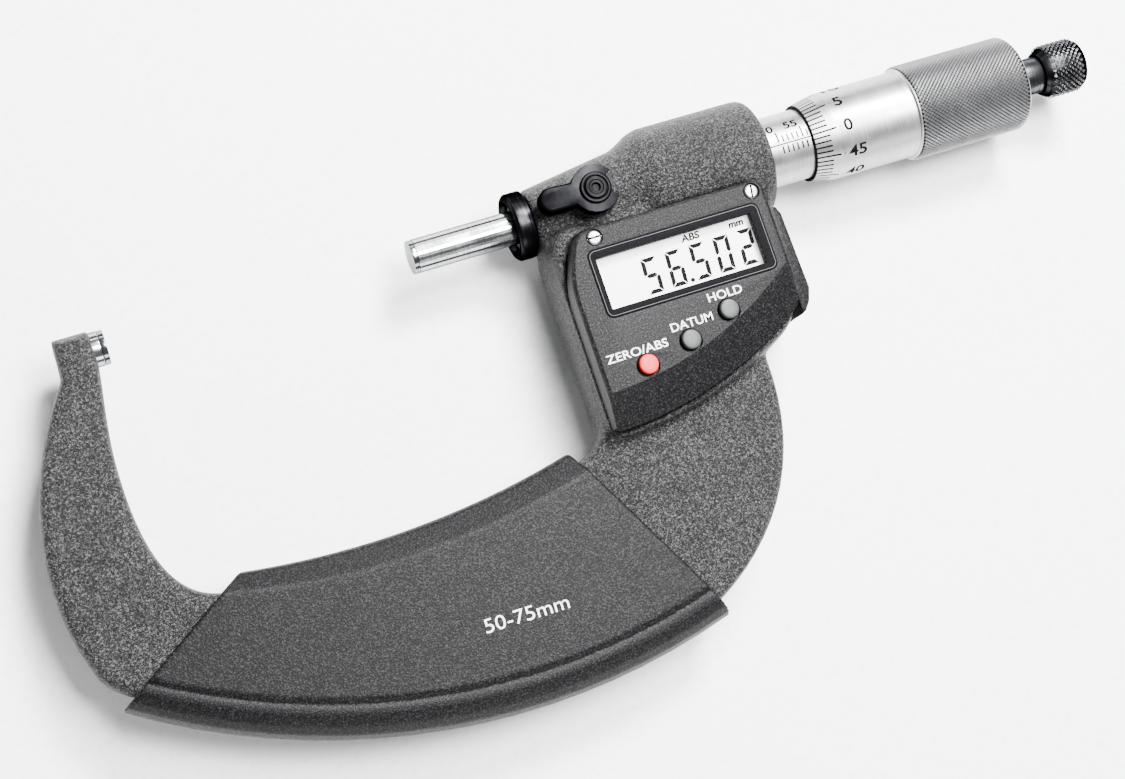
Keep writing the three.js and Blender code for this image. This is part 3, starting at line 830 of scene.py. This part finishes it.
# Pad-printed labels over the buttons: x, y and width of each
labels = {
    "height": 1.58, "bold": 0.008, "level": 12.285,
    "words": {
        "ZERO/ABS": (82.0, -30.95, 11.9),
        "DATUM": (95.3, -28.85, 8.2),
        "HOLD": (103.75, -25.6, 6.75),
    },
}
printed = []
for text, (x, y, width) in labels["words"].items():
    word = lettering(text, width, labels["height"], labels["bold"])
    printed.append(moved(word, x, y, labels["level"]))
printed = asObject(joined("buttonLabels", printed), "buttonLabels")
finishPiece(printed, "satin_chrome", "frame", material=paint["white"])
print("buttons and labels")

# Liquid crystal: five slanted seven-segment digits, with the unit and the mode above them
reading = {
    "digits": "56502", "x": 94.15, "y": -20.9, "pitch": 4.77, "width": 3.05, "height": 6.7,
    "stroke": 0.78, "gap": 0.1, "slant": 0.075, "low": 10.18, "high": 10.23,
}
point = {"x": 102.95, "y": -20.5, "radius": 0.42, "sides": 16}
words = {
    "ABS": {"x": 103.25, "width": 3.75, "height": 1.4, "bold": 0.035},
    "mm": {"x": 112.8, "width": 3.0, "height": 1.0, "bold": 0.045},
}
wordLine = {"y": -13.45, "thick": 0.05, "slant": 0.15}
lit = {"5": "afgcd", "6": "afgecd", "0": "abcdef", "2": "abged"}


def segments(width, height, stroke, gap):
    # The seven strokes of a digit, lettered clockwise from the top with g in the middle
    mid, half = height / 2, stroke / 2
    top = [(gap, height), (width - gap, height)]
    top += [(width - stroke - gap, height - stroke), (stroke + gap, height - stroke)]
    left = [(0, height - gap), (stroke, height - stroke - gap), (stroke, mid + half + gap)]
    left += [(half, mid + gap), (0, mid + half)]
    bar = [(half + gap, mid), (stroke + gap, mid + half), (width - stroke - gap, mid + half)]
    bar += [(width - half - gap, mid), (width - stroke - gap, mid - half)]
    bar += [(stroke + gap, mid - half)]
    flipX = lambda shape: [(width - x, y) for x, y in shape]
    flipY = lambda shape: [(x, height - y) for x, y in shape]
    return {
        "a": top, "b": flipX(left), "c": flipX(flipY(left)), "d": flipY(top),
        "e": flipY(left), "f": left, "g": bar,
    }


shapes = segments(reading["width"], reading["height"], reading["stroke"], reading["gap"])
inks = []
for place, digit in enumerate(reading["digits"]):
    start = reading["x"] + place * reading["pitch"]
    for key in lit[digit]:
        outline = [(start + x + y * reading["slant"], reading["y"] + y) for x, y in shapes[key]]
        inks.append(slab("segment", outline, reading["low"], reading["high"]))
outline = []
for step in range(point["sides"]):
    angle = step * 2 * math.pi / point["sides"]
    x, y = point["radius"] * math.cos(angle), point["radius"] * math.sin(angle)
    outline.append((point["x"] + x, point["y"] + y))
inks.append(slab("dot", outline, reading["low"], reading["high"]))
for text, word in words.items():
    mesh = lettering(
        text, word["width"], word["height"], word["bold"], wordLine["thick"], wordLine["slant"])
    inks.append(moved(mesh, word["x"], wordLine["y"], reading["low"]))
inks = asObject(joined("litSegments", inks), "litSegments")
finishPiece(inks, "lcd", "frame", material=paint["segment"])
print("display")

# Graduated sleeve, satin chrome with filled lines: millimetres above the line, halves below it
sleeve = {"start": 122, "end": 155, "bore": 6.2, "radius": 6.78}
sleeveScale = {
    "first": 129.03, "range": 25, "datum": 3.7, "datumHalf": 1.1, "lineStart": 126.1,
    "lineEnd": 154.6, "stroke": 0.31, "gap": 0.4, "long": 2.1, "short": 1.3, "half": 1.4,
    "numberWidth": 2.75, "numberHeight": 1.6, "numberBack": 2.85, "numberLow": 2.75,
    "bold": 0.022, "thick": 0.04, "sink": 0.015,
}
sleeveRadius = lambda x: sleeve["radius"]
degree = math.degrees(1 / sleeve["radius"])  # turn for a millimetre round the sleeve
datum = sleeveScale["datum"]
inkAndPaintedShade = paint["black"]


def sleeveMark(name, x, low, high):
    half = sleeveScale["stroke"] / 2
    first, last = datum - high * degree, datum - low * degree
    return bent(name, x - half, x + half, first, last, sleeveRadius, (1, 4))


first, near = sleeveScale["first"], sleeveScale["gap"]
fives = sleeveScale["range"] // 5 + 1
short = sleeveMark("millimetres", first, near, near + sleeveScale["short"])
long = sleeveMark("fives", first, near, near + sleeveScale["long"])
half = sleeveMark("halves", first + 0.5, -near - sleeveScale["half"], -near)
marks = [
    bent(
        "datumLine", sleeveScale["lineStart"], sleeveScale["lineEnd"],
        datum - sleeveScale["datumHalf"], datum + sleeveScale["datumHalf"], sleeveRadius, (1, 2)),
    repeated("millimetres", short, inkAndPaintedShade, sleeveScale["range"] + 1, columnStep=1),
    repeated("fives", long, inkAndPaintedShade, fives, columnStep=5),
    repeated("halves", half, inkAndPaintedShade, sleeveScale["range"], columnStep=1),
]
for count in range(fives):
    number = lettering(
        str(50 + 5 * count), sleeveScale["numberWidth"], sleeveScale["numberHeight"],
        sleeveScale["bold"], sleeveScale["thick"])
    turn = datum - sleeveScale["numberLow"] * degree
    start = first - sleeveScale["numberBack"] + 5 * count
    marks.append(wrapped(number, sleeve["radius"] - sleeveScale["sink"], turn, start))
marks = asObject(joined("sleeveScale", marks), "sleeveScale")
finishPiece(marks, "satin_chrome", "frame", material=inkAndPaintedShade)
start, end = sleeve["start"], sleeve["end"]
profile = [[start, sleeve["bore"]], [start, sleeve["radius"]]]
profile += [[end, sleeve["radius"]], [end, sleeve["bore"]], [start, sleeve["bore"]]]
tube = asObject(turned("sleeveTube", profile, ease=0), "sleeveTube")
finishPiece(tube, "satin_chrome", "frame", ["graduated_sleeve"])
print("sleeve")

# Thimble: a chromed cone of fifty divisions, a plain band, and a diamond-knurled grip
thimble = {
    "lip": 135.502, "lipRadius": 7.4, "radius": 8.45, "cone": 5, "grip": 157.5, "end": 181.2,
    "gripRadius": 9.35, "depth": 0.45, "ease": 0.12, "sides": 192,
    "bore": 7.05, "boreEnd": 166.3, "cavity": 3.1, "cavityEnd": 176.5, "cavityNarrow": 2.58,
    "hole": 2.2,
}
thimbleScale = {
    "divisions": 50, "short": 3.3, "long": 5.6, "start": 0.15, "stroke": 0.33, "meanRadius": 8,
    "numberStart": 6.35, "numberHeight": 2.35, "digitWidth": 1.75, "digitGap": 0.25,
    "bold": 0.022, "thick": 0.04, "sink": 0.015,
}
lip, valley = thimble["lip"], thimble["gripRadius"] - thimble["depth"]
coneEnd = lip + thimble["cone"]


def thimbleRadius(x):
    share = min(1, max(0, (x - lip) / thimble["cone"]))
    return thimble["lipRadius"] + (thimble["radius"] - thimble["lipRadius"]) * share


profile = [
    [lip + 0.02, thimble["bore"]], [lip + 0.02, 7.3], [lip + 0.12, 7.42],  # lip
    [coneEnd, thimble["radius"]], [thimble["grip"] - 0.4, thimble["radius"]],  # cone and band
    [thimble["grip"] - 0.3, 8.75], [thimble["grip"], valley],  # shoulder
    [thimble["end"] - 0.3, valley], [thimble["end"], valley - 0.3],  # grip
    [thimble["end"], thimble["hole"]], [thimble["cavityEnd"], thimble["hole"]],
    [thimble["cavityEnd"], thimble["cavityNarrow"]], [thimble["boreEnd"], thimble["cavity"]],
    [thimble["boreEnd"], thimble["bore"]], [lip + 0.02, thimble["bore"]],
]
shell = turned("thimbleShell", profile, thimble["sides"], thimble["ease"])
shell = asObject(shell, "thimbleShell")
finishPiece(shell, "satin_chrome", "spindle", ["thimble"], angle=30)

# Black ring under the knurl as painted shade in its valleys, then the diamonds, which stand as high
# as the grip
groove = {"start": 157.55, "end": 180.85, "sink": 0.2, "rise": 0.02}
start, end = groove["start"], groove["end"]
low, high = valley - groove["sink"], valley + groove["rise"]
profile = [[start, low], [start, high], [end, high], [end, low], [start, low]]
valleyShade = asObject(turned("knurlValleyShade", profile, 160, ease=0), "knurlValleyShade")
finishPiece(valleyShade, "black_steel", "spindle", material=paint["black"])
gripKnurl = {
    "around": 70, "rows": 52, "length": 0.88, "start": 157.95, "radius": thimble["gripRadius"],
    "base": valley - 0.01, "tip": thimble["gripRadius"], "fill": 0.87, "flat": 0.12,
}
grip = diamondKnurl("thimbleKnurl", gripKnurl, finishes["satin_chrome"])
finishPiece(asObject(grip, "thimbleKnurl"), "satin_chrome", "spindle", angle=15)


def thimbleMark(name, length):
    halfTurn = math.degrees(thimbleScale["stroke"] / 2 / thimbleScale["meanRadius"])
    start, end = lip + thimbleScale["start"], lip + length
    return bent(name, start, end, datum - halfTurn, datum + halfTurn, thimbleRadius, (6, 1))


short = thimbleMark("divisions", thimbleScale["short"])
long = thimbleMark("fifthDivisions", thimbleScale["long"])
count = thimbleScale["divisions"]
lipPaintedShadow = [  # a black ring round the lip, as painted shadow of the gap at the thimble's edge
    [lip + 0.01, 7.0], [lip + 0.01, 7.34], [lip + 0.14, 7.45],
    [lip + 0.24, 7.46], [lip + 0.24, 7.0], [lip + 0.01, 7.0],
]
marks = [
    repeated("divisions", short, inkAndPaintedShade, count, columnTurn=360 / count),
    repeated("fifthDivisions", long, inkAndPaintedShade, count // 5, columnTurn=5 * 360 / count),
    turned("lipPaintedShadow", lipPaintedShadow, ease=0),
]
for number in range(0, count, 5):
    text = str(number)
    width = thimbleScale["digitWidth"] * len(text) + thimbleScale["digitGap"] * (len(text) - 1)
    height = thimbleScale["numberHeight"]
    digits = lettering(text, width, height, thimbleScale["bold"], thimbleScale["thick"])
    digits = moved(digits, 0, -height / 2, 0)
    turn, start = datum - 360 / count * number, lip + thimbleScale["numberStart"]
    marks.append(wrapped(digits, thimble["radius"] - thimbleScale["sink"], turn, start))
marks = asObject(joined("thimbleScale", marks), "thimbleScale")
finishPiece(marks, "satin_chrome", "spindle", material=inkAndPaintedShade)
print("thimble")

# Ratchet stop: a bright turned neck and a black knob with a coarse knurl
knob = {"start": 187.6, "margin": 1.55, "radius": 5.05}
easedCopy("ratchet_body", "black_steel", "spindle", 0.1, paint["neck"])
easedCopy("ratchet_cap", "black_steel", "ratchet", 0.12)
easedCopy("ratchet_knob", "black_steel", "ratchet", 0)
knobKnurl = {
    "around": 28, "rows": 12, "length": 1.08, "start": knob["start"] + knob["margin"],
    "radius": knob["radius"], "base": knob["radius"] - 0.12, "tip": knob["radius"] + 0.3,
    "fill": 0.88, "flat": 0.25,
}
grip = asObject(diamondKnurl("knobKnurl", knobKnurl, paint["worn"]), "knobKnurl")
finishPiece(grip, "black_steel", "ratchet", material=paint["worn"], angle=15)
print("ratchet stop")

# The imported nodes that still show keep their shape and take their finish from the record's slots
for part in frame["record"]["subparts"]:
    node = nodes.get(part["node"])
    if node is not None:
        for slot in node.material_slots:
            slot.material = finishes[part["material_slot"]]
print("packed nodes coated")
